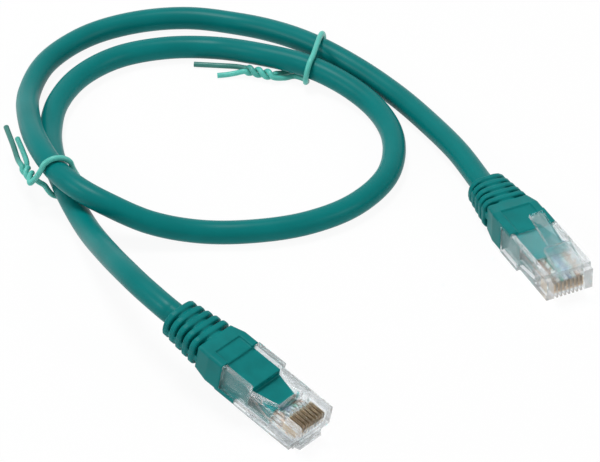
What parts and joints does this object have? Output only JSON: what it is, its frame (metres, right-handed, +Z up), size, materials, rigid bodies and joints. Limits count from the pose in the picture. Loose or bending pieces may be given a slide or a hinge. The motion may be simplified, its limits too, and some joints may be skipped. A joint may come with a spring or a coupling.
{
  "type": "ethernet patch cable",
  "caption": "Short round network cable with a clear latching plug and a moulded ribbed boot on each end, laid in a loop held by twist ties.",
  "frame": {"origin": "on the table under the middle of the bounding box of the two plugs with their boots", "axes": "+Z up from the table; +Y away from the viewer of the picture, from the plugs towards the loop; +X to that viewer's right"},
  "size_m": [0.1354, 0.1634, 0.018],
  "materials": {
    "clear_plastic": "clear, polished",
    "boot": "satin moulded",
    "jacket": "satin extruded",
    "contact": "gold plated",
    "tie": "satin",
    "wire_white_orange": "satin",
    "wire_orange": "satin",
    "wire_white_green": "satin",
    "wire_blue": "satin",
    "wire_white_blue": "satin",
    "wire_green": "satin",
    "wire_white_brown": "satin",
    "wire_brown": "satin"
  },
  "bodies": {
    "cord": {"plug_a_housing": "clear_plastic", "plug_a_boot": "boot", "plug_a_jacket_end": "jacket", "plug_a_contact_1": "contact", "plug_a_contact_2": "contact", "plug_a_contact_3": "contact", "plug_a_contact_4": "contact", "plug_a_contact_5": "contact", "plug_a_contact_6": "contact", "plug_a_contact_7": "contact", "plug_a_contact_8": "contact", "plug_a_wire_1": "wire_white_orange", "plug_a_wire_2": "wire_orange", "plug_a_wire_3": "wire_white_green", "plug_a_wire_4": "wire_blue", "plug_a_wire_5": "wire_white_blue", "plug_a_wire_6": "wire_green", "plug_a_wire_7": "wire_white_brown", "plug_a_wire_8": "wire_brown", "plug_b_housing": "clear_plastic", "plug_b_boot": "boot", "plug_b_jacket_end": "jacket", "plug_b_contact_1": "contact", "plug_b_contact_2": "contact", "plug_b_contact_3": "contact", "plug_b_contact_4": "contact", "plug_b_contact_5": "contact", "plug_b_contact_6": "contact", "plug_b_contact_7": "contact", "plug_b_contact_8": "contact", "plug_b_wire_1": "wire_white_orange", "plug_b_wire_2": "wire_orange", "plug_b_wire_3": "wire_white_green", "plug_b_wire_4": "wire_blue", "plug_b_wire_5": "wire_white_blue", "plug_b_wire_6": "wire_green", "plug_b_wire_7": "wire_white_brown", "plug_b_wire_8": "wire_brown", "cable_jacket": "jacket", "tie_top": "tie", "tie_left": "tie"},
    "latch_a": {"plug_a_latch": "clear_plastic"},
    "latch_b": {"plug_b_latch": "clear_plastic"}
  },
  "joints": [
    {"name": "latch_a_press", "type": "hinge", "parent": "cord", "child": "latch_a", "pos_m": [-0.01593, -0.04148, 0.00153], "axis": [0.6807, 0.7325, 0], "range_deg": [0, 10], "stiffness_Nm_per_rad": 0.35},
    {"name": "latch_b_press", "type": "hinge", "parent": "cord", "child": "latch_b", "pos_m": [0.04255, 0.00793, 0.00931], "axis": [-0.9033, -0.4289, 0], "range_deg": [0, 10], "stiffness_Nm_per_rad": 0.35}
  ]
}
